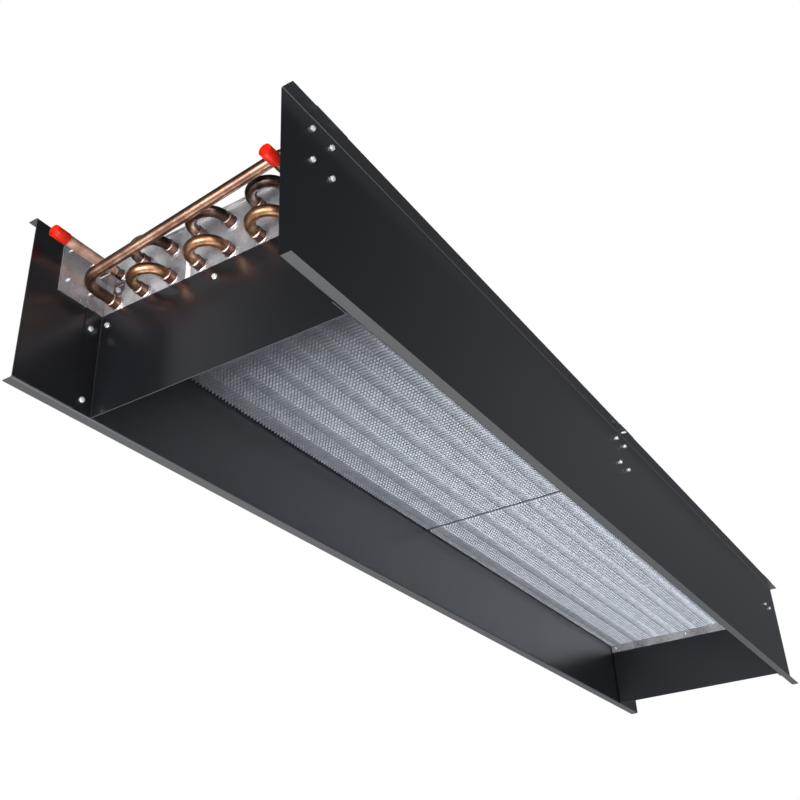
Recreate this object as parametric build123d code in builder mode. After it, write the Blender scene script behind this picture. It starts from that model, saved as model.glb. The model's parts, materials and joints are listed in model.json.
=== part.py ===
import os
from math import cos, radians, sin

from build123d import *

os.makedirs("parts", exist_ok=True)

# Passive chilled beam, millimetres. X runs along the beam with the pipe end at -X,
# Y across it, Z up. The origin is the middle of the footprint of the two side panels.

# Casing
beam_length = 2000.0
casing_width = 392.0  # across the outer faces of the two webs
casing_height = 240.0
coil_space = 86.0  # from the top of the casing down to the end panels' top edges
panel_sheet = 1.2
panel_flange = 15.0  # outward reach of each flange from the web's outer face
panel_fold = 1.5  # inside radius of every fold in the coated sheet

# End panels
end_inset = 122.0  # from the end of the side panels to the end panel
end_return = 27.0
end_screw_setback = 17.0  # from the end panel's outer face to its return screws
end_screw_low = 18.5
end_screw_drop = 28.5  # upper return screws below the end panel's top edge
end_screw_side = 12.8  # outer tube sheet screws from the web
end_screw_edge = 18.0  # tube sheet screws below the end panel's top edge

# Coil
tube_diameter = 15.0
tube_wall = 1.0
tube_sides = 12  # coil tubes are drawn with flats
bend_step = 22.5  # degrees of turn at each mitred corner of a bend
tubes_per_row = 8
row_drop = 29.5  # upper row of tubes below the top of the casing
row_pitch = 46.0
sheet_gauge = 1.5  # galvanised sheet: tube sheets, hangers, pipe bracket
sheet_fold = 1.0
sheet_overlap = 28.0  # tube sheet below the end panel's top edge
sheet_lip = 4.0
sheet_side_gap = 0.3
tube_hole_gap = 0.1
joint_reach = 13.2  # tube end beyond the front tube sheet
bend_leg = 2.0
rear_leg = 12.0

# Fins
fin_pitch = 14.8  # every second plate of the real 7.4 mm pitch
fin_sheet = 0.5
fin_overhang = 23.5  # fin edge beyond the outer row of tubes
fin_side_gap = 2.8  # fin edge to the web
fin_end_gap = 2.0
block_split = -36.0
block_gap = 4.0

# Pipework at the pipe end
crossover_reach = 51.0  # crossover run in front of the tube ends
crossover_radius = 26.0
stub_end = 11.0  # open end of each connection pipe from the end of the side panels
cap_diameter = 16.6
cap_length = 22.0
cap_grip = 17.0
cap_dish = 2.5
cap_rim = 1.3  # ring left round the dish
cap_fit = 0.05
cap_end_gap = 0.5  # pipe end to the bottom of the cap's bore
cap_edge = 0.5

# Pipe bracket
bracket_width = 19.0
bracket_ear = 15.0
bracket_shelf = 26.0
bracket_drop = 16.5  # shelf below the pipe's axis
bracket_corner = 5.0
bracket_seat = 0.3

# Hangers
hanger_inset = 46.0
hanger_length = 62.0
hanger_hole = 11.0
hanger_hole_out = 8.5  # hole centre beyond the web's outer face
screw_gauge_x = 38.5
screw_gauge_z = 48.0
screw_drop = 17.0

# Screws
screw_across = 7.0
screw_head = 3.0

# Places worked out from the sizes above
end_x = beam_length / 2
web_out = casing_width / 2
web_in = web_out - panel_sheet
panel_x = end_x - end_inset
sheet_x = panel_x - panel_sheet
joint_x = sheet_x + joint_reach
tube_radius = tube_diameter / 2
end_height = casing_height - coil_space
fin_width = 2 * (web_in - fin_side_gap)
tube_pitch = fin_width / tubes_per_row
rows = [casing_height - row_drop - row_pitch, casing_height - row_drop]
columns = [(tubes_per_row - 1) / 2 * tube_pitch - i * tube_pitch for i in range(tubes_per_row)]
sheet_low = end_height - sheet_overlap
fin_low = rows[0] - fin_overhang
fin_height = row_pitch + 2 * fin_overhang
stub_x = end_x - stub_end
leg_in = web_in - sheet_gauge


def folded(points, sheet, fold):
    """Cross-section of folded sheet whose middle follows the points."""
    with BuildLine() as middle_line:
        FilletPolyline(*points, radius=fold + sheet / 2)
    trace(middle_line.line, line_width=sheet)


def save(piece, name):
    piece.part.label = name
    export_step(piece.part, f"parts/{name}.step")


def hex_heads(plane, places):
    """Hexagon screw heads seated on a plane."""
    with BuildPart() as heads:
        with BuildSketch(plane):
            with Locations(*places):
                RegularPolygon(radius=screw_across / 2, side_count=6, major_radius=False)
        extrude(amount=screw_head)
    return heads


# Side panels: a web with a flange turned outwards along the top and the bottom
with BuildPart() as side_panel_left:
    with BuildSketch(Plane.YZ):
        middle = web_out - panel_sheet / 2
        top = casing_height - panel_sheet / 2
        tip = web_out + panel_flange
        folded([(tip, top), (middle, top), (middle, panel_sheet / 2), (tip, panel_sheet / 2)],
               panel_sheet, panel_fold)
    extrude(amount=beam_length / 2, both=True)
    with Locations((0, web_out + hanger_hole_out, casing_height)):
        Hole(radius=hanger_hole / 2, depth=panel_sheet)

with BuildPart() as side_panel_right:
    mirror(side_panel_left.part, about=Plane.XZ)

save(side_panel_left, "side_panel_left")
save(side_panel_right, "side_panel_right")

# End panels: black sheets across the beam, folded back along both webs
with BuildPart() as end_panel_front:
    with BuildSketch(Plane.XY):
        face_x = -panel_x + panel_sheet / 2
        side_y = web_in - panel_sheet / 2
        tip_x = -panel_x - end_return
        folded([(tip_x, side_y), (face_x, side_y), (face_x, -side_y), (tip_x, -side_y)],
               panel_sheet, panel_fold)
    extrude(amount=end_height)

with BuildPart() as end_panel_rear:
    mirror(end_panel_front.part, about=Plane.YZ)

save(end_panel_front, "end_panel_front")
save(end_panel_rear, "end_panel_rear")

# Tube sheets: galvanised plates with a lip at the top and a hole for every tube
with BuildPart() as tube_sheet_front:
    with BuildSketch(Plane.XZ):
        plate_x = -sheet_x + sheet_gauge / 2
        lip_z = casing_height - sheet_gauge / 2
        folded([(plate_x, sheet_low), (plate_x, lip_z), (-sheet_x - sheet_lip, lip_z)],
               sheet_gauge, sheet_fold)
    extrude(amount=leg_in - sheet_side_gap, both=True)
    with BuildSketch(Plane.YZ.offset(-sheet_x)):
        with Locations(*[(y, z) for y in columns for z in rows]):
            RegularPolygon(radius=tube_radius + tube_hole_gap, side_count=tube_sides)
    extrude(amount=sheet_gauge, mode=Mode.SUBTRACT)

with BuildPart() as tube_sheet_rear:
    mirror(tube_sheet_front.part, about=Plane.YZ)

save(tube_sheet_front, "tube_sheet_front")
save(tube_sheet_rear, "tube_sheet_rear")


def fin_block(start, stop):
    """Upright plates across the coil, evenly spaced from start to stop."""
    count = int((stop - start - fin_sheet) // fin_pitch) + 1
    first = (start + stop) / 2 - (count - 1) / 2 * fin_pitch
    with BuildPart() as block:
        with Locations(*[(first + i * fin_pitch, 0, fin_low) for i in range(count)]):
            Box(fin_sheet, fin_width, fin_height, align=(Align.CENTER, Align.CENTER, Align.MIN))
    return block


fin_start = -sheet_x + sheet_gauge + fin_end_gap
save(fin_block(fin_start, block_split - block_gap / 2), "fins_front")
save(fin_block(block_split + block_gap / 2, -fin_start), "fins_rear")


def arc_points(centre, start, onward, angle):
    """Points on an arc: start and onward reach from its centre at 0 and at 90 degrees."""
    steps = round(angle / bend_step)
    turns = [radians(angle * i / steps) for i in range(steps + 1)]
    return [centre + start * cos(turn) + onward * sin(turn) for turn in turns]


def coil_tube(points):
    """Closed tube along straight runs, mitred where they meet."""
    with BuildPart() as tube:
        with BuildLine():
            Polyline(*points)
        with BuildSketch(Plane(origin=points[0], z_dir=points[1] - points[0])):
            RegularPolygon(radius=tube_radius, side_count=tube_sides)
        sweep(transition=Transition.RIGHT)
    return tube


def u_bend(x, leg, y, z, heading):
    """Tube that runs a leg from x, turns round to the next column and comes back."""
    radius = tube_pitch / 2
    centre = Vector(x + heading * leg, y - radius, z)
    half_turn = arc_points(centre, Vector(0, radius, 0), Vector(heading * radius, 0, 0), 180)
    return coil_tube([Vector(x, y, z), *half_turn, Vector(x, y - tube_pitch, z)])


# Hairpin tubes: two runs through every fin, joined by a half turn at the rear
for row, z in zip(["lower", "upper"], rows):
    for number in range(tubes_per_row // 2):
        hairpin = u_bend(-joint_x, joint_x + sheet_x + rear_leg, columns[2 * number], z, 1)
        save(hairpin, f"hairpin_{row}_{number + 1}")

# Return bends: they join each hairpin to the next at the pipe end
for row, z in zip(["lower", "upper"], rows):
    for number in range(tubes_per_row // 2 - 1):
        return_bend = u_bend(-joint_x, bend_leg, columns[2 * number + 1], z, -1)
        save(return_bend, f"return_bend_{row}_{number + 1}")

# Crossover: from the first tube of the lower row to the last of the upper row
crossover_start = Vector(-joint_x, columns[0], rows[0])
crossover_stop = Vector(-joint_x, columns[-1], rows[1])
across = (crossover_stop - crossover_start).normalized() * crossover_radius
outward = Vector(-crossover_radius, 0, 0)
leg_out = Vector(crossover_radius - crossover_reach, 0, 0)
crossover_pipe = coil_tube(
    [
        crossover_start,
        *arc_points(crossover_start + leg_out + across, -across, outward, 90),
        *arc_points(crossover_stop + leg_out - across, outward, across, 90),
        crossover_stop,
    ]
)
save(crossover_pipe, "crossover_pipe")


def connection_pipe(y, z):
    """Open pipe from a tube end to its cap."""
    with BuildPart() as pipe:
        with BuildSketch(Plane.YZ.offset(-joint_x)):
            with Locations((y, z)):
                Circle(tube_radius)
                Circle(tube_radius - tube_wall, mode=Mode.SUBTRACT)
        extrude(amount=joint_x - stub_x)
    return pipe


def pipe_cap(y, z):
    """Push-on cap with a dished end."""
    mouth = -stub_x + cap_grip
    with BuildPart() as cap:
        with BuildSketch(Plane.YZ.offset(mouth - cap_length)):
            with Locations((y, z)):
                Circle(cap_diameter / 2)
        extrude(amount=cap_length)
        chamfer(cap.edges().filter_by(GeomType.CIRCLE).group_by(Axis.X)[0], length=cap_edge)
        with BuildSketch(Plane.YZ.offset(mouth)):
            with Locations((y, z)):
                Circle(tube_radius + cap_fit)
        extrude(amount=-cap_grip - cap_end_gap, mode=Mode.SUBTRACT)
        with BuildSketch(Plane.YZ.offset(mouth - cap_length)):
            with Locations((y, z)):
                Circle(cap_diameter / 2 - cap_rim)
        extrude(amount=cap_dish, mode=Mode.SUBTRACT)
    return cap


save(connection_pipe(columns[0], rows[1]), "supply_pipe")
save(connection_pipe(columns[-1], rows[0]), "return_pipe")
save(pipe_cap(columns[0], rows[1]), "supply_cap")
save(pipe_cap(columns[-1], rows[0]), "return_cap")

# Pipe bracket: an ear on the tube sheet, a shelf and a lip up to the supply pipe
with BuildPart() as pipe_bracket:
    shelf_z = rows[1] - bracket_drop
    ear_x = -sheet_x - sheet_gauge / 2
    with BuildSketch(Plane.XZ.offset(-columns[0])):
        folded(
            [
                (ear_x, shelf_z - bracket_ear),
                (ear_x, shelf_z),
                (ear_x - bracket_shelf, shelf_z),
                (ear_x - bracket_shelf, rows[1] - tube_radius - bracket_seat),
            ],
            sheet_gauge,
            sheet_fold,
        )
    extrude(amount=bracket_width / 2, both=True)
    fillet(pipe_bracket.edges().filter_by(Axis.X).group_by(Axis.Z)[0], radius=bracket_corner)
save(pipe_bracket, "pipe_bracket")


def hanger(centre, leg_stop, hole):
    """Leg inside the left web as far as leg_stop, and a tab over the top flange."""
    start = centre - hanger_length / 2
    tab_z = casing_height + sheet_gauge / 2
    with BuildPart() as bracket:
        with BuildSketch(Plane.YZ.offset(start)):
            folded(
                [
                    (leg_in + sheet_gauge / 2, end_height),
                    (leg_in + sheet_gauge / 2, tab_z),
                    (web_out + panel_flange, tab_z),
                ],
                sheet_gauge,
                sheet_fold / 2,
            )
        extrude(amount=hanger_length)
        with BuildSketch(Plane.YZ.offset(start)):
            with Locations((leg_in, end_height)):
                Rectangle(sheet_gauge, coil_space, align=(Align.MIN, Align.MIN))
        extrude(amount=leg_stop - start)
        if hole:
            with Locations((centre, web_out + hanger_hole_out, tab_z + sheet_gauge / 2)):
                Hole(radius=hanger_hole / 2, depth=sheet_gauge)
    return bracket


# Hangers: the four at the ends reach along the web to the tube sheet
hanger_x = end_x - hanger_inset - hanger_length / 2
hanger_front_left = hanger(-hanger_x, -sheet_x, False)
hanger_middle_left = hanger(0, hanger_length / 2, True)

with BuildPart() as hanger_rear_left:
    mirror(hanger_front_left.part, about=Plane.YZ)

left_hangers = {"front": hanger_front_left, "middle": hanger_middle_left, "rear": hanger_rear_left}
for place, left_hanger in left_hangers.items():
    with BuildPart() as right_hanger:
        mirror(left_hanger.part, about=Plane.XZ)
    save(left_hanger, f"hanger_{place}_left")
    save(right_hanger, f"hanger_{place}_right")

# Hanger screws: heads on the outside of the webs, four a hanger but two at the rear
screw_z = [casing_height - screw_drop, casing_height - screw_drop - screw_gauge_z]
screw_x = [-screw_gauge_x / 2, screw_gauge_x / 2]
screw_places = [(centre + x, z) for centre in (-hanger_x, 0) for x in screw_x for z in screw_z]
screw_places += [(hanger_x + x, screw_z[1]) for x in screw_x]
hanger_screws_right = hex_heads(Plane.XZ.offset(web_out), screw_places)

with BuildPart() as hanger_screws_left:
    mirror(hanger_screws_right.part, about=Plane.XZ)

save(hanger_screws_left, "hanger_screws_left")
save(hanger_screws_right, "hanger_screws_right")

# End panel screws: through both returns of each end panel
setback_x = panel_x + end_screw_setback
screw_high = end_height - end_screw_drop
return_places = [(x, z) for x in (-setback_x, setback_x) for z in (end_screw_low, screw_high)]
end_panel_screws_left = hex_heads(Plane.XZ.offset(panel_sheet - web_in), return_places)

with BuildPart() as end_panel_screws_right:
    mirror(end_panel_screws_left.part, about=Plane.XZ)

save(end_panel_screws_left, "end_panel_screws_left")
save(end_panel_screws_right, "end_panel_screws_right")

# Tube sheet screws: along the top edge of each end panel
edge_z = end_height - end_screw_edge
edge_y = web_in - end_screw_side
edge_places = [(y, edge_z) for y in (-edge_y, 0, edge_y)]
tube_sheet_screws_rear = hex_heads(Plane.YZ.offset(panel_x), edge_places)

with BuildPart() as tube_sheet_screws_front:
    mirror(tube_sheet_screws_rear.part, about=Plane.YZ)

save(tube_sheet_screws_front, "tube_sheet_screws_front")
save(tube_sheet_screws_rear, "tube_sheet_screws_rear")

# Bracket screw: one, in the bracket's ear
ear_face = Plane(origin=(-sheet_x - sheet_gauge, columns[0], 0), x_dir=(0, -1, 0), z_dir=(-1, 0, 0))
bracket_screw = hex_heads(ear_face, [(0, rows[1] - bracket_drop - bracket_ear / 2)])
save(bracket_screw, "bracket_screw")
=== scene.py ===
import json
import math
import bpy
import bmesh
from mathutils import Euler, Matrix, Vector


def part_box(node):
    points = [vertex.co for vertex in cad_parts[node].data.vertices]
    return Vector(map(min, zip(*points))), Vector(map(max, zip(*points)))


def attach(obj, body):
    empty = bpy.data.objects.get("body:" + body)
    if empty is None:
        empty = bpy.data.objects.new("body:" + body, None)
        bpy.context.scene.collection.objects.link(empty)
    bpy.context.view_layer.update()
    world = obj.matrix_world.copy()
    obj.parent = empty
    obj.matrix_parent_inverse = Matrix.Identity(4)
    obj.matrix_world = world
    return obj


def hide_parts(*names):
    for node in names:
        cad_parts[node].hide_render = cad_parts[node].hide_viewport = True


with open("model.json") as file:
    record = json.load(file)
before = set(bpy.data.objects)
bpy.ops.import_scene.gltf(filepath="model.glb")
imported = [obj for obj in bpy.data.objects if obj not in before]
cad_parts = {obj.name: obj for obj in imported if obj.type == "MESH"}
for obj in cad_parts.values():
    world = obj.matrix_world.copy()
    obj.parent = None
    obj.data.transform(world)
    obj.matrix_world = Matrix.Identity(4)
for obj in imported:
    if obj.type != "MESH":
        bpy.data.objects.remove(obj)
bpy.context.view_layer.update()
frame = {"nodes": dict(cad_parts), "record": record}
nodes = frame["nodes"]
mm = 0.001
print("frame loaded:", len(nodes), "nodes")


# small helpers

def linear(hexColour):
    # sRGB, as in a colour picker, to the linear values that nodes take
    channels = [int(hexColour[i:i + 2], 16) / 255 for i in (1, 3, 5)]
    channels = [c / 12.92 if c <= 0.04045 else ((c + 0.055) / 1.055) ** 2.4 for c in channels]
    return (*channels, 1.0)


def newObject(name, data):
    thing = bpy.data.objects.new(name, data)
    bpy.context.scene.collection.objects.link(thing)
    return thing


def plug(tree, node, links):
    for key, source in links.items():
        tree.links.new(source, node.inputs[key])


def setStops(band, stops):
    # stops: position and a hex colour or a linear one
    band.remove(band[1])
    band[0].position = stops[0][0]
    for position, _ in stops[1:]:
        band.new(position)
    for element, (_, colour) in zip(band, stops):
        element.color = linear(colour) if isinstance(colour, str) else colour


def addNode(tree, kind, settings=None, links=None):
    # settings: properties by name, input values by socket name or number, or a colour ramp's stops
    # links: socket to the output that feeds it
    node = tree.nodes.new(kind)
    for key, value in (settings or {}).items():
        if key == "stops":
            setStops(node.color_ramp.elements, value)
        elif isinstance(key, int) or key not in node.bl_rna.properties:
            node.inputs[key].default_value = value
        else:
            setattr(node, key, value)
    plug(tree, node, links or {})
    return node


def emptyTree(owner):
    owner.use_nodes = True
    owner.node_tree.nodes.clear()
    return owner.node_tree


# the shot

camera = {
    "lens": 48.27,
    "sensor": 36.0,
    "clip": (0.02, 60.0),
    "place": (-1.67627, -0.7273, -0.67981),
    "turn": (120.6412, 2.4737, -58.0112),  # degrees, XYZ
}
room = {
    "tint": (0.95, 0.985, 1.06),
    # grey by height over the horizon (sine of the angle), as gloss and light see it
    "greys": [(-1.0, 0.8), (-0.5, 0.7), (-0.3, 0.3), (0.02, 0.22), (0.12, 0.1), (0.3, 0.11),
              (0.45, 0.16), (0.6, 0.09), (0.75, 0.02)],
}
floor = {
    "height": -3.4,
    "half": 6.0,
    "colour": "#e4e4e4",
    "glow": 1.0,  # how bright gloss and metal see it
}
lampColour = "#f8fbff"
lamps = {
    # name: place, target, width, height, watts
    "frontLow": ((-4.8, 0.1, -1.7), (0.0, 0.0, 0.1), 3.4, 2.2, 320.0),
    "frontRight": ((-3.3, -2.3, -1.5), (-0.2, 0.15, 0.1), 1.3, 1.3, 26.0),
    "nearRight": ((-2.9, -1.7, 0.2), (-0.9, 0.15, 0.18), 0.9, 0.9, 18.0),
    "backLeft": ((0.52, 1.81, 2.18), (-0.95, 0.1, 0.2), 1.4, 1.4, 10.0),
    "fillBelow": ((0.3, 0.4, -3.0), (0.3, 0.0, 0.1), 2.6, 2.6, 60.0),
    "rightLow": ((0.1, -3.4, -1.8), (0.1, -0.2, 0.1), 1.6, 1.6, 90.0),
    "highLeft": ((-2.45, 2.29, 1.8), (-0.88, 0.05, 0.08), 1.1, 1.1, 2.2),
}


def setCamera():
    lens = bpy.data.cameras.new("camera")
    lens.lens = camera["lens"]
    lens.sensor_width = camera["sensor"]
    lens.clip_start, lens.clip_end = camera["clip"]
    shot = newObject("camera", lens)
    shot.location = camera["place"]
    shot.rotation_euler = Euler([math.radians(a) for a in camera["turn"]], "XYZ")
    bpy.context.scene.camera = shot
    bpy.context.scene.view_settings.view_transform = "Standard"


def makeRoom():
    # white to the camera, and a dim room with a pale lower half to gloss and light
    world = bpy.data.worlds.new("paleRoom")
    tree = emptyTree(world)
    path = addNode(tree, "ShaderNodeLightPath")
    direct = addNode(tree, "ShaderNodeMath", {"operation": "MAXIMUM"},
                     {0: path.outputs["Is Camera Ray"], 1: path.outputs["Is Transmission Ray"]})
    aim = addNode(tree, "ShaderNodeTexCoord")
    height = addNode(tree, "ShaderNodeSeparateXYZ", None, {0: aim.outputs["Generated"]})
    share = addNode(tree, "ShaderNodeMapRange", {"From Min": -1.0}, {"Value": height.outputs[2]})
    stops = [((z + 1) / 2, (*(grey * c for c in room["tint"]), 1.0)) for z, grey in room["greys"]]
    greys = addNode(tree, "ShaderNodeValToRGB", {"stops": stops}, {"Fac": share.outputs[0]})
    shade = addNode(tree, "ShaderNodeMix", {"data_type": "RGBA", 7: (1.0, 1.0, 1.0, 1.0)},
                    {0: direct.outputs[0], 6: greys.outputs[0]})
    sky = addNode(tree, "ShaderNodeBackground", {"Strength": 1.0}, {"Color": shade.outputs[2]})
    addNode(tree, "ShaderNodeOutputWorld", None, {"Surface": sky.outputs[0]})
    bpy.context.scene.world = world


def makeFloor():
    paper = bpy.data.materials.new("palePaper")
    tree = emptyTree(paper)
    path = addNode(tree, "ShaderNodeLightPath")
    mirrored = addNode(tree, "ShaderNodeMath", {"operation": "MAXIMUM"},
                       {0: path.outputs["Is Glossy Ray"], 1: path.outputs["Is Transmission Ray"]})
    share = addNode(tree, "ShaderNodeMath", {"operation": "MULTIPLY", 1: floor["glow"]},
                    {0: mirrored.outputs[0]})
    matt = addNode(tree, "ShaderNodeBsdfDiffuse", {"Color": linear(floor["colour"])})
    glow = addNode(tree, "ShaderNodeEmission", {"Strength": 1.0})
    mixed = addNode(tree, "ShaderNodeMixShader", None,
                    {0: share.outputs[0], 1: matt.outputs[0], 2: glow.outputs[0]})
    addNode(tree, "ShaderNodeOutputMaterial", None, {"Surface": mixed.outputs[0]})

    half = floor["half"]
    corners = [(-half, -half), (half, -half), (half, half), (-half, half)]
    sheet = bpy.data.meshes.new("floor")
    sheet.from_pydata([(x, y, floor["height"]) for x, y in corners], [], [(0, 1, 2, 3)])
    sheet.materials.append(paper)
    newObject("floor", sheet)


def hangLamps():
    for name, (place, target, width, height, watts) in lamps.items():
        light = bpy.data.lights.new(name, "AREA")
        light.shape = "RECTANGLE"
        light.size = width
        light.size_y = height
        light.energy = watts
        light.color = linear(lampColour)[:3]
        lamp = newObject(name, light)
        lamp.location = place
        lamp.rotation_euler = (Vector(target) - Vector(place)).to_track_quat("-Z", "Y").to_euler()


setCamera()
makeRoom()
makeFloor()
hangLamps()
print("camera, room, floor and", len(lamps), "lamps set")


# materials; each finish gives
#   shader: fixed values
#   cloud: the noise that the tones and the gloss follow
#   spangle: size of the zinc crystals, and their share in the tones
#   tones: colour by position in the noise
#   gloss: a socket, with its value at low and at high noise
#   relief: a finer noise, or else the cloud, and its depth
#   rolledAlong: the direction in which the gloss is drawn out

# black polyester coil coating on steel sheet: a soft gloss under a clear film, faint orange peel
coatedSheet = {
    # the coat's own roughness is the middle of its gloss below
    "shader": {"IOR": 1.5, "Roughness": 0.33,
               "Coat Weight": 0.8, "Coat IOR": 1.5, "Coat Roughness": 0.24},
    "cloud": {"size": 220 * mm, "stretch": (3.0, 1.0, 1.0)},
    "tones": {0.35: "#0b0c10", 0.7: "#101217"},
    "gloss": ("Coat Roughness", 0.21, 0.27),
    "relief": {"size": 1.6 * mm, "detail": 1.0, "depth": 0.003 * mm},
}
# hot-dip galvanised sheet: pale grey with soft cloudy patches and a faint spangle
galvanised = {
    "shader": {"Metallic": 0.7},
    "cloud": {"size": 46 * mm, "stretch": (1.0, 1.0, 1.6)},
    "spangle": {"size": 5 * mm, "share": 0.12},
    "tones": {0.32: "#979496", 0.6: "#dedbdb"},
    "gloss": ("Roughness", 0.31, 0.18),
    "relief": {"depth": 0.5 * mm},
}
# the pipe bracket: the same sheet, bare and glossier, its tones darkened and browned as painted
# shade and painted reflection of the copper pipes
shadedCopperReflectionSheet = {
    **galvanised,
    "shader": {"Metallic": 1.0},
    "tones": {0.32: "#857a77", 0.6: "#aca19e"},
    "gloss": ("Roughness", 0.2, 0.12),
}
# drawn copper, tarnished: long draw lines under uneven patches of oxide
copper = {
    "shader": {"Coat Weight": 0.3, "Coat Roughness": 0.16},
    "cloud": {"size": 24 * mm, "detail": 5.0, "roughness": 0.62},
    "gloss": ("Roughness", 0.42, 0.27),
    "relief": {"size": 2.2 * mm, "stretch": (6.0, 6.0, 1.0), "detail": 2.0, "depth": 0.012 * mm},
}
copperStops = (0.32, 0.45, 0.56, 0.7)
copperTones = {
    "run": ["#4f3a2f", "#6f5041", "#8d6a56", "#a98572"],
    "supply": ["#a87c66", "#c99a82", "#dfb39d", "#eecbb8"],  # pale: a lit copy of the copper, its tones lightened as painted light on the supply pipe
    "lower": ["#664732", "#8f6749", "#b18360", "#d0a88c"],  # golden: the lit copy of the bend copper, its tones lightened as painted light
    "upper": ["#2b211d", "#4a3831", "#6a5145", "#a58874"],  # nearly black: the shaded copy of the bend copper, its tones darkened as painted shade
    "sockets": ["#5e4239", "#835d50", "#a57767", "#c79b8b"],
}
# aluminium fin stock under a thin pale film: gloss is drawn out up and down the fin
finStock = {
    "shader": {"Metallic": 0.55, "Roughness": 0.48, "Anisotropic": 0.9},
    "cloud": {"size": 14 * mm, "detail": 2.0},
    "tones": {0.3: "#b0b4bb", 0.7: "#c9ccd2"},
    "rolledAlong": (0.0, 0.0, 1.0),
}
# the drawn necks of the fins: the same stock, with no one direction left in its gloss
neckStock = {**finStock, "shader": {**finStock["shader"], "Anisotropic": 0.0}}
# injection-moulded polyethylene cap: saturated red, satin
redPlastic = {
    "shader": {"Roughness": 0.38, "IOR": 1.51, "Specular IOR Level": 0.35},
    "cloud": {"size": 12 * mm},
    "tones": {0.35: "#c21806", 0.65: "#d5230b"},
    "relief": {"size": 0.8 * mm, "depth": 0.01 * mm},
}
# zinc-plated steel screws: bright and slightly blue
zincPlating = {
    "shader": {"Metallic": 0.55},
    "cloud": {"size": 2 * mm},
    "tones": {0.35: "#d3d6db", 0.65: "#f2f4f7"},
    "gloss": ("Roughness", 0.222, 0.278),
}
# silver solder at the joints: pale, faintly pink, rough where it ran
silverSolder = {
    "shader": {"Metallic": 1.0, "Roughness": 0.42},
    "cloud": {"size": 3 * mm},
    "tones": {0.35: "#b8968a", 0.65: "#dcc5bb"},
    "relief": {"depth": 0.05 * mm},
}
# a pale matt strip, faintly warm grey
paleMattStrip = {
    "shader": {"Roughness": 0.6},
    "cloud": {"size": 3 * mm},
    "tones": {0.35: "#c9cac6", 0.65: "#dcddd9"},
}
# a dark grey matt block filling the seam between the two fin blocks, where a dark line shows
darkSeamFill = {
    "shader": {"Roughness": 0.9},
    "cloud": {"size": 1.5 * mm},
    "tones": {0.35: "#454547", 0.65: "#646467"},
}
noiseSpan = {"From Min": 0.3, "From Max": 0.7}  # where most of a noise lies


def addGrain(tree, size, stretch=(1.0, 1.0, 1.0), detail=3.0, roughness=0.5):
    # noise whose features are about `size` metres, drawn out along an axis by `stretch`
    place = addNode(tree, "ShaderNodeTexCoord")
    mapping = addNode(tree, "ShaderNodeMapping", {"Scale": [1 / s for s in stretch]},
                      {"Vector": place.outputs["Object"]})
    noise = addNode(tree, "ShaderNodeTexNoise",
                    {"Scale": 1 / size, "Detail": detail, "Roughness": roughness},
                    {"Vector": mapping.outputs[0]})
    return noise.outputs["Fac"]


def makeFinish(name, finish):
    material = bpy.data.materials.new(name)
    material.use_nodes = True
    tree = material.node_tree
    shader = tree.nodes["Principled BSDF"]
    for socket, value in finish["shader"].items():
        shader.inputs[socket].default_value = value

    cloud = tone = addGrain(tree, **finish["cloud"])
    if "spangle" in finish:
        spangle = finish["spangle"]
        place = addNode(tree, "ShaderNodeTexCoord")
        cells = addNode(tree, "ShaderNodeTexVoronoi", {"Scale": 1 / spangle["size"]},
                        {"Vector": place.outputs["Object"]})
        mixed = addNode(tree, "ShaderNodeMix", {"data_type": "FLOAT", "Factor": spangle["share"]},
                        {2: cloud, 3: cells.outputs["Distance"]})
        tone = mixed.outputs[0]
    stops = list(finish["tones"].items())
    colours = addNode(tree, "ShaderNodeValToRGB", {"stops": stops}, {"Fac": tone})
    plug(tree, shader, {"Base Color": colours.outputs[0]})

    if "gloss" in finish:
        socket, low, high = finish["gloss"]
        gloss = addNode(tree, "ShaderNodeMapRange", {**noiseSpan, "To Min": low, "To Max": high},
                        {"Value": cloud})
        plug(tree, shader, {socket: gloss.outputs[0]})
    if "relief" in finish:
        sizes = dict(finish["relief"])
        depth = sizes.pop("depth")
        height = addGrain(tree, **sizes) if sizes else cloud
        relief = addNode(tree, "ShaderNodeBump", {"Distance": depth, "Strength": 1.0},
                         {"Height": height})
        plug(tree, shader, {"Normal": relief.outputs[0]})
    if "rolledAlong" in finish:
        along = addNode(tree, "ShaderNodeCombineXYZ", dict(enumerate(finish["rolledAlong"])))
        plug(tree, shader, {"Tangent": along.outputs[0]})
    return material


def makeCopper(name, tones, bare=1.0):
    return makeFinish(name, {
        **copper,
        "shader": {**copper["shader"], "Metallic": bare},
        "tones": dict(zip(copperStops, copperTones[tones])),
    })


looks = {
    "coated_sheet": makeFinish("blackCoilCoatedSteel", coatedSheet),
    "galvanised_sheet": makeFinish("galvanisedSteel", galvanised),
    "fin_aluminium": makeFinish("rolledAluminium", finStock),
    "copper_tube": makeCopper("drawnCopper", "run"),
    "cap_plastic": makeFinish("redPolyethylene", redPlastic),
    "plated_screws": makeFinish("zincPlatedSteel", zincPlating),
}
ownLooks = {
    "pipe_bracket": makeFinish("paintedShadeReflectionSteel", shadedCopperReflectionSheet),
    # the supply pipe takes lighter copper tones: painted light
    "supply_pipe": makeCopper("paintedLitCopper", "supply", 0.6),
}
# the lower bends take a lit copy and the upper bends a shaded copy of one copper: painted light and
# painted shade by row
litAndShadedBendLooks = {row: makeCopper("rowLitShadedCopper_" + row, row) for row in ("lower", "upper")}
socketLook = makeCopper("heatedCopper", "sockets")
neckLook = makeFinish("drawnAluminium", neckStock)
solderLook = makeFinish("silverSolder", silverSolder)
slotOf = {row["node"]: row["material_slot"] for row in frame["record"]["subparts"]}
for name, node in nodes.items():
    node.data.materials.clear()
    node.data.materials.append(ownLooks.get(name, looks[slotOf[name]]))
print("materials made")


# geometry node trees

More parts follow.
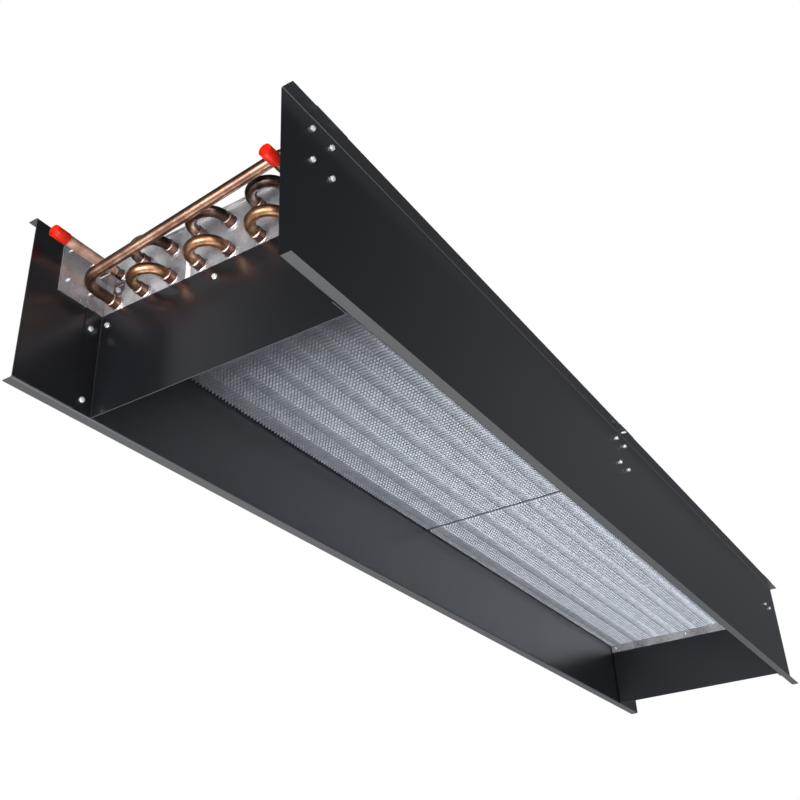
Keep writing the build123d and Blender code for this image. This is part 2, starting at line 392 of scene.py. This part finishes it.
def newTree(name, inputs):
    # inputs: label to the kind of socket and the value it starts from
    tree = bpy.data.node_groups.new(name, "GeometryNodeTree")
    tree.interface.new_socket("Geometry", in_out="INPUT", socket_type="NodeSocketGeometry")
    for label, (kind, value) in inputs.items():
        socket = tree.interface.new_socket(label, in_out="INPUT", socket_type="NodeSocket" + kind)
        if value is not None:
            socket.default_value = value
    tree.interface.new_socket("Geometry", in_out="OUTPUT", socket_type="NodeSocketGeometry")
    return tree, addNode(tree, "NodeGroupInput").outputs


def endTree(tree, geometry, material):
    real = addNode(tree, "GeometryNodeRealizeInstances", None, {0: geometry})
    dressed = addNode(tree, "GeometryNodeSetMaterial", None,
                      {"Geometry": real.outputs[0], "Material": material})
    addNode(tree, "NodeGroupOutput", None, {0: dressed.outputs[0]})


def bake(carrier, tree, values, name):
    # runs the tree on the carrier and returns its result as a plain mesh object
    modifier = carrier.modifiers.new(tree.name, "NODES")
    modifier.node_group = tree
    for item in tree.interface.items_tree:
        if item.item_type == "SOCKET" and item.in_out == "INPUT" and item.name in values:
            modifier[item.identifier] = values[item.name]
    carrier.update_tag()
    bpy.context.view_layer.update()
    seen = carrier.evaluated_get(bpy.context.evaluated_depsgraph_get())
    mesh = bpy.data.meshes.new_from_object(seen)
    mesh.name = name
    carrier.modifiers.remove(modifier)
    bpy.data.objects.remove(carrier)
    return newObject(name, mesh)


def pointCarrier(name, points, aims=None):
    mesh = bpy.data.meshes.new(name)
    mesh.from_pydata(points, [], [])
    if aims:
        aim = mesh.attributes.new("aim", "FLOAT_VECTOR", "POINT")
        aim.data.foreach_set("vector", [c for direction in aims for c in direction])
    return newObject(name, mesh)


# fins: corrugated between the tubes and flat round them, where the collars are

coil = {
    "pitch": 48.0 * mm, "columns": 8, "rowLow": 164.5 * mm, "rowPitch": 46.0 * mm,
    "frontEnd": -890.0 * mm, "frontLeg": 2.0 * mm, "rearStart": 888.8 * mm, "bend": 24.0 * mm,
}
columns = [((coil["columns"] - 1) / 2 - i) * coil["pitch"] for i in range(coil["columns"])]
rows = {"lower": coil["rowLow"], "upper": coil["rowLow"] + coil["rowPitch"]}
fins = {
    "pitch": 7.4 * mm, "gauge": 0.5 * mm,
    # one bay to a tube: flat steps across the tube, and folds on each side of them
    "fold": 3.05 * mm, "foldsEachSide": 5, "flatSteps": 3, "wave": 0.34 * mm,
    "shift": 2.5 * mm,  # the folds sit this much towards the supply side
    "swell": 0.5 * mm, "swellPlace": 14.0 * mm,
}
foldSteps = [
    # how a point of the flat plate moves: result, operation and its terms, which are numbers,
    # inputs of the tree or earlier results
    ("bothSides", "MULTIPLY", "Folds Each Side", 2.0),
    ("bayParts", "ADD", "bothSides", "Flat Steps"),
    ("parts", "MULTIPLY", "bayParts", "Bays"),
    ("cuts", "ADD", "parts", 1.0),
    # the bay that the point is in, and its step there
    ("offMiddle", "DIVIDE", "y", "Width"),
    ("share", "ADD", "offMiddle", 0.5),
    ("partsBefore", "MULTIPLY", "share", "parts"),
    ("part", "ROUND", "partsBefore"),
    ("baysBefore", "DIVIDE", "part", "bayParts"),
    ("bay", "FLOOR", "baysBefore"),
    ("bayFirst", "MULTIPLY", "bay", "bayParts"),
    ("step", "SUBTRACT", "part", "bayFirst"),
    ("pastFolds", "SUBTRACT", "step", "Folds Each Side"),
    ("flatOrLess", "MINIMUM", "pastFolds", "Flat Steps"),
    ("flatDone", "MAXIMUM", "flatOrLess", 0.0),
    # its place along the bay, and from there along the plate
    ("foldedLength", "MULTIPLY", "bothSides", "Fold"),
    ("flatLength", "SUBTRACT", "Tube Pitch", "foldedLength"),
    ("flatStep", "DIVIDE", "flatLength", "Flat Steps"),
    ("flatRun", "MULTIPLY", "flatDone", "flatStep"),
    ("foldsDone", "SUBTRACT", "step", "flatDone"),
    ("foldRun", "MULTIPLY", "foldsDone", "Fold"),
    ("inBay", "ADD", "foldRun", "flatRun"),
    ("bayOffset", "MULTIPLY", "bay", "Tube Pitch"),
    ("halfWidth", "MULTIPLY", "Width", 0.5),
    ("bayStart", "SUBTRACT", "bayOffset", "halfWidth"),
    ("unshifted", "ADD", "bayStart", "inBay"),
    # all but the plate's two outer edges shift
    ("distance", "ABSOLUTE", "offMiddle"),
    ("inside", "LESS_THAN", "distance", 0.4999),
    ("shiftHere", "MULTIPLY", "inside", "Shift"),
    ("newY", "ADD", "unshifted", "shiftHere"),
    # crests and troughs by turns, counted from the nearer end of the bay
    ("stepsLeft", "SUBTRACT", "bayParts", "step"),
    ("nearerEnd", "MINIMUM", "step", "stepsLeft"),
    ("foldNumber", "MINIMUM", "nearerEnd", "Folds Each Side"),
    ("foldAngle", "MULTIPLY", "foldNumber", math.pi),
    ("foldSide", "COSINE", "foldAngle"),
    ("ripple", "MULTIPLY", "foldSide", "Wave"),
    # on a shallow swell, one to a tube
    ("shifted", "ADD", "inBay", "Shift"),
    ("fromSwell", "SUBTRACT", "shifted", "Swell Place"),
    ("swellTurn", "DIVIDE", "fromSwell", "Tube Pitch"),
    ("swellAngle", "MULTIPLY", "swellTurn", 2 * math.pi),
    ("swellSide", "SINE", "swellAngle"),
    ("swell", "MULTIPLY", "swellSide", "Swell"),
    ("push", "SUBTRACT", "ripple", "swell"),
    ("newX", "ADD", "x", "push"),
    # where the first fin stands
    ("gaps", "SUBTRACT", "Count", 1.0),
    ("run", "MULTIPLY", "gaps", "Pitch"),
    ("firstX", "MULTIPLY", "run", -0.5),
]


def makeFinTree():
    tree, given = newTree("finBlock", {
        "Count": ("Int", 10), "Middle": ("Vector", None),
        "Width": ("Float", 384 * mm), "Height": ("Float", 93 * mm),
        "Pitch": ("Float", fins["pitch"]), "Gauge": ("Float", fins["gauge"]),
        "Bays": ("Int", coil["columns"]), "Tube Pitch": ("Float", coil["pitch"]),
        "Fold": ("Float", fins["fold"]), "Folds Each Side": ("Int", fins["foldsEachSide"]),
        "Flat Steps": ("Int", fins["flatSteps"]), "Wave": ("Float", fins["wave"]),
        "Shift": ("Float", fins["shift"]), "Swell": ("Float", fins["swell"]),
        "Swell Place": ("Float", fins["swellPlace"]), "Material": ("Material", None)})
    spot = addNode(tree, "GeometryNodeInputPosition")
    x, y, z = addNode(tree, "ShaderNodeSeparateXYZ", None, {0: spot.outputs[0]}).outputs
    known = {**{socket.name: socket for socket in given}, "x": x, "y": y}
    for result, operation, *terms in foldSteps:
        numbers = {i: term for i, term in enumerate(terms) if not isinstance(term, str)}
        sources = {i: known[term] for i, term in enumerate(terms) if isinstance(term, str)}
        node = addNode(tree, "ShaderNodeMath", {"operation": operation, **numbers}, sources)
        known[result] = node.outputs[0]

    size = addNode(tree, "ShaderNodeCombineXYZ", None,
                   {0: given["Gauge"], 1: given["Width"], 2: given["Height"]})
    plate = addNode(tree, "GeometryNodeMeshCube", {"Vertices X": 2, "Vertices Z": 2},
                    {"Size": size.outputs[0], "Vertices Y": known["cuts"]})
    place = addNode(tree, "ShaderNodeCombineXYZ", None, {0: known["newX"], 1: known["newY"], 2: z})
    folded = addNode(tree, "GeometryNodeSetPosition", None,
                     {"Geometry": plate.outputs[0], "Position": place.outputs[0]})

    gap = addNode(tree, "ShaderNodeCombineXYZ", None, {0: given["Pitch"]})
    first = addNode(tree, "ShaderNodeCombineXYZ", None, {0: known["firstX"]})
    begin = addNode(tree, "ShaderNodeVectorMath", {"operation": "ADD"},
                    {0: given["Middle"], 1: first.outputs[0]})
    line = addNode(tree, "GeometryNodeMeshLine", None, {
        "Count": given["Count"], "Start Location": begin.outputs[0], "Offset": gap.outputs[0]})
    copies = addNode(tree, "GeometryNodeInstanceOnPoints", None,
                     {"Points": line.outputs[0], "Instance": folded.outputs[0]})
    endTree(tree, copies.outputs[0], given["Material"])
    return tree


def makeFins():
    tree = makeFinTree()
    deep = fins["gauge"] + 2 * (fins["wave"] + fins["swell"])
    for block in ("fins_front", "fins_rear"):
        low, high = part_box(block)
        count = int((high.x - low.x - deep) / fins["pitch"]) + 1
        piece = bake(pointCarrier("finCarrier", [(0, 0, 0)]), tree, {
            "Count": count, "Middle": list((low + high) / 2), "Width": high.y - low.y,
            "Height": high.z - low.z, "Material": looks["fin_aluminium"],
        }, "dressed_" + block)
        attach(piece, "beam")
        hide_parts(block)
        print(block, count, "fins", len(piece.data.polygons), "faces")


makeFins()


# copper tubes

tube = {"radius": 7.5 * mm, "sides": 28, "bendSteps": 18}
crossover = {"reach": 51.0 * mm, "bend": 26.0 * mm}


def makeTubeTree():
    tree, given = newTree("bentTube", {
        "Radius": ("Float", tube["radius"]), "Sides": ("Int", tube["sides"]),
        "Bend": ("Float", coil["bend"]), "Bend Steps": ("Int", tube["bendSteps"]),
        "Material": ("Material", None)})
    rounded = addNode(tree, "GeometryNodeFilletCurve", {"mode": "POLY", "Limit Radius": True},
                      {0: given["Geometry"], "Radius": given["Bend"], "Count": given["Bend Steps"]})
    ring = addNode(tree, "GeometryNodeCurvePrimitiveCircle", None,
                   {"Resolution": given["Sides"], "Radius": given["Radius"]})
    skin = addNode(tree, "GeometryNodeCurveToMesh", {"Fill Caps": True},
                   {0: rounded.outputs[0], 1: ring.outputs[0]})
    smooth = addNode(tree, "GeometryNodeSetShadeSmooth", None, {0: skin.outputs[0]})
    endTree(tree, smooth.outputs[0], given["Material"])
    return tree


tubeTree = makeTubeTree()


def makeTube(cadNode, points, bend, look, name=None):
    name = name or "dressed_" + cadNode
    curve = bpy.data.curves.new(name, "CURVE")
    curve.dimensions = "3D"
    spline = curve.splines.new("POLY")
    spline.points.add(len(points) - 1)
    for spot, point in zip(spline.points, points):
        spot.co = (*point, 1.0)
    carrier = newObject(name + "Carrier", curve)
    piece = bake(carrier, tubeTree, {"Bend": bend, "Material": look}, name)
    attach(piece, "beam")
    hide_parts(cadNode)


def turnBack(x, y, z):
    # from the front end out to x, one tube pitch across and back
    across = y - coil["pitch"]
    return [(coil["frontEnd"], y, z), (x, y, z), (x, across, z), (coil["frontEnd"], across, z)]


def makeCoil():
    far = coil["rearStart"] + coil["bend"]
    near = coil["frontEnd"] - coil["frontLeg"] - coil["bend"]
    for row, z in rows.items():
        for i, y in enumerate(columns[::2], 1):
            makeTube(f"hairpin_{row}_{i}", turnBack(far, y, z), coil["bend"], litAndShadedBendLooks[row])
        for i, y in enumerate(columns[1:-1:2], 1):
            makeTube(f"return_bend_{row}_{i}", turnBack(near, y, z), coil["bend"], litAndShadedBendLooks[row])
    runX = coil["frontEnd"] - crossover["reach"]
    makeTube("crossover_pipe", [
        (coil["frontEnd"], columns[0], rows["lower"]), (runX, columns[0], rows["lower"]),
        (runX, columns[-1], rows["upper"]), (coil["frontEnd"], columns[-1], rows["upper"]),
    ], crossover["bend"], looks["copper_tube"], "dressed_crossover")
    print("copper tubes made")


makeCoil()


# small parts: each is turned once and copied by a tree

creaseAngle = math.radians(35)  # softer edges are shaded smooth
weld = 1e-7  # metres


def turned(name, *shells):
    # spins outlines about the x axis; each shell: sides and (along x, radius) in mm
    shape = bmesh.new()
    for sides, outline in shells:
        angles = [2 * math.pi * k / sides for k in range(sides)]
        rings = []
        for x, radius in outline:
            r = radius * mm
            spots = [(x * mm, r * math.cos(a), r * math.sin(a)) for a in angles]
            if not radius:
                spots = [(x * mm, 0, 0)]
            rings.append([shape.verts.new(spot) for spot in spots])
        for near, far in zip(rings, rings[1:]):
            for k in range(sides):
                ends = [near[k % len(near)], near[(k + 1) % len(near)],
                        far[(k + 1) % len(far)], far[k % len(far)]]
                shape.faces.new(list(dict.fromkeys(ends)))
        if len(rings[0]) > 1 and len(rings[-1]) > 1 and outline[0] != outline[-1]:
            shape.faces.new(rings[0])
            shape.faces.new(rings[-1])
    bmesh.ops.remove_doubles(shape, verts=shape.verts, dist=weld)
    bmesh.ops.recalc_face_normals(shape, faces=shape.faces)
    mesh = bpy.data.meshes.new(name)
    shape.to_mesh(mesh)
    shape.free()
    return newObject(name, mesh)


def makeCopyTree():
    tree, given = newTree("placeCopies", {
        "Shape": ("Object", None), "Material": ("Material", None)})
    aim = addNode(tree, "GeometryNodeInputNamedAttribute",
                  {"data_type": "FLOAT_VECTOR", "Name": "aim"})
    facing = addNode(tree, "FunctionNodeAlignRotationToVector", {"axis": "X"},
                     {"Vector": aim.outputs["Attribute"]})
    shape = addNode(tree, "GeometryNodeObjectInfo", None, {"Object": given["Shape"]})
    copies = addNode(tree, "GeometryNodeInstanceOnPoints", None, {
        "Points": given["Geometry"], "Instance": shape.outputs["Geometry"],
        "Rotation": facing.outputs[0]})
    endTree(tree, copies.outputs[0], given["Material"])
    return tree


copyTree = makeCopyTree()


def smoothByAngle(mesh):
    mesh.polygons.foreach_set("use_smooth", [True] * len(mesh.polygons))
    work = bmesh.new()
    work.from_mesh(mesh)
    for edge in work.edges:
        edge.smooth = len(edge.link_faces) == 2 and edge.calc_face_angle() < creaseAngle
    work.to_mesh(mesh)
    work.free()


def placeCopies(name, shape, places, slotName, cadNode=None, look=None, body="beam"):
    # places: (point, direction that the shape's x axis takes)
    points, aims = zip(*places)
    carrier = pointCarrier(name + "Carrier", points, aims)
    piece = bake(carrier, copyTree, {"Shape": shape, "Material": look or looks[slotName]}, name)
    smoothByAngle(piece.data)
    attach(piece, body)
    if cadNode:
        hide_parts(cadNode)


# screws with hex washer heads: the outlines turned, and where the screws stand, all in mm
screw = {
    "washer": (12, [(0, 3.9), (0.35, 3.9), (0.7, 3.4)]),
    "head": (6, [(0.3, 3.4), (2.5, 3.4), (3.0, 2.7)]),
    "shank": (10, [(0.1, 1.9), (-6.0, 1.9), (-9.5, 0)]),
}
hangerScrews = {
    "web": 196.0, "offsets": (-19.25, 19.25),
    # heights by each hanger's middle along the beam
    "heights": {-923.0: (223.0, 175.0), 0.0: (223.0, 175.0), 923.0: (175.0,)},
}
panelScrews = {"web": 193.6, "x": (-895.0, 895.0), "heights": (18.5, 125.5)}
sheetScrews = {"face": 878.0, "y": (-182.0, 0.0, 182.0), "height": 136.0}
bracketScrew = (-878.3, 168.0, 186.5)


def makeScrews():
    plain = turned("screwHead", screw["washer"], screw["head"])
    drill = turned("drillScrew", screw["washer"], screw["head"], screw["shank"])

    def drive(group, shape, places):
        inMetres = [([c * mm for c in point], aim) for point, aim in places]
        placeCopies("dressed_" + group, shape, inMetres, "plated_screws", group)

    for side, name in ((1, "left"), (-1, "right")):
        drive(f"hanger_screws_{name}", drill, [
            ((middle + offset, side * hangerScrews["web"], z), (0, side, 0))
            for middle, heights in hangerScrews["heights"].items()
            for offset in hangerScrews["offsets"] for z in heights])
        drive(f"end_panel_screws_{name}", plain, [
            ((x, side * panelScrews["web"], z), (0, -side, 0))
            for x in panelScrews["x"] for z in panelScrews["heights"]])
    for side, name in ((1, "rear"), (-1, "front")):
        drive(f"tube_sheet_screws_{name}", drill, [
            ((side * sheetScrews["face"], y, sheetScrews["height"]), (side, 0, 0))
            for y in sheetScrews["y"]])
    drive("bracket_screw", plain, [(bracketScrew, (-1, 0, 0))])
    bpy.data.objects.remove(plain)
    bpy.data.objects.remove(drill)
    print("screws placed")


makeScrews()

# rings round each tube where it meets a tube sheet: outlines in mm from the sheet's face
joint = {
    "face": 876.9 * mm,
    "sides": 24,
    "collar": [(-0.2, 8.7), (1.6, 8.7), (2.6, 9.2), (2.2, 9.8), (0.9, 10.7), (-0.2, 11.0),
               (-0.2, 8.7)],
    "socket": [(0, 8.7), (8.5, 8.7), (11.5, 9.1), (13.0, 9.1), (13.2, 7.5), (0, 7.5), (0, 8.7)],
    "solder": [(12.9, 7.4), (12.8, 8.8), (13.3, 9.0), (13.8, 8.2), (14.2, 7.4), (12.9, 7.4)],
}


def tubePlaces(x, aim):
    return [((x, y, z), (aim, 0, 0)) for z in rows.values() for y in columns]


def makeJoints():
    # stamped collars in the tube sheets, belled tube ends and solder rings
    shapes = {name: turned(name + "Shape", (joint["sides"], joint[name]))
              for name in ("collar", "socket", "solder")}
    front, rear = tubePlaces(-joint["face"], -1), tubePlaces(joint["face"], 1)
    placeCopies("sheet_collars", shapes["collar"], front, "galvanised_sheet")
    placeCopies("tube_sockets", shapes["socket"], front, "copper_tube", look=socketLook)
    placeCopies("solder_rings", shapes["solder"], front, "copper_tube", look=solderLook)
    placeCopies("rear_collars", shapes["collar"], rear, "galvanised_sheet")
    for shape in shapes.values():
        bpy.data.objects.remove(shape)
    print("joints placed")


makeJoints()

# fin collars: the drawn necks of all the fins make one bright sleeve round each tube
sleeve = {"radius": 8.1, "sides": 14}  # mm


def makeSleeves():
    start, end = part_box("fins_front")[0].x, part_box("fins_rear")[1].x
    outline = [(0, sleeve["radius"]), ((end - start) / mm, sleeve["radius"])]
    shape = turned("sleeveShape", (sleeve["sides"], outline))
    placeCopies("fin_necks", shape, tubePlaces(start, 1), "fin_aluminium", look=neckLook)
    bpy.data.objects.remove(shape)
    print("fin necks made")


makeSleeves()

# plain blocks: a pale matt strip on the tube sheet, and a dark block in the seam between the fin
# blocks
blocks = {
    # name: low corner and high corner in mm, slot, look
    "blank_strip": ((-877.4, 42.0, 152.0), (-876.7, 50.0, 188.0), "galvanised_sheet",
                    makeFinish("paleMattStrip", paleMattStrip)),
    "block_seam": ((-37.5, -191.0, 143.2), (-34.5, 191.0, 233.0), "fin_aluminium",
                   makeFinish("darkSeamFill", darkSeamFill)),
}


def makeBlocks():
    for name, (low, high, slotName, look) in blocks.items():
        mesh = bpy.data.meshes.new(name)
        work = bmesh.new()
        bmesh.ops.create_cube(work, size=1.0)
        for vert in work.verts:
            vert.co = [(high if c > 0 else low)[axis] * mm for axis, c in enumerate(vert.co)]
        work.to_mesh(mesh)
        work.free()
        mesh.materials.append(look)
        piece = newObject(name, mesh)
        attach(piece, "beam")
    print("strip and seam made")


makeBlocks()

# caps: moulded, with a rounded rim and a dished end; the outline is in mm from the closed end
cap = {
    "end": -994 * mm,
    "sides": 48,
    "outline": [(4.5, 0), (4.5, 7.55), (22, 7.55), (22, 8.1), (21.7, 8.3), (0.5, 8.3), (0.15, 8.15),
                (0, 7.8), (0, 7.35), (0.15, 7.1), (0.5, 7.0), (2.5, 6.8), (2.5, 0)],
}


def makeCaps():
    shape = turned("capShape", (cap["sides"], cap["outline"]))
    for name, y, row in (("supply_cap", columns[0], "upper"), ("return_cap", columns[-1], "lower")):
        placeCopies("dressed_" + name, shape, [((cap["end"], y, rows[row]), (1, 0, 0))],
                    "cap_plastic", name, body=name + "_body")
    bpy.data.objects.remove(shape)
    print("caps made")


makeCaps()
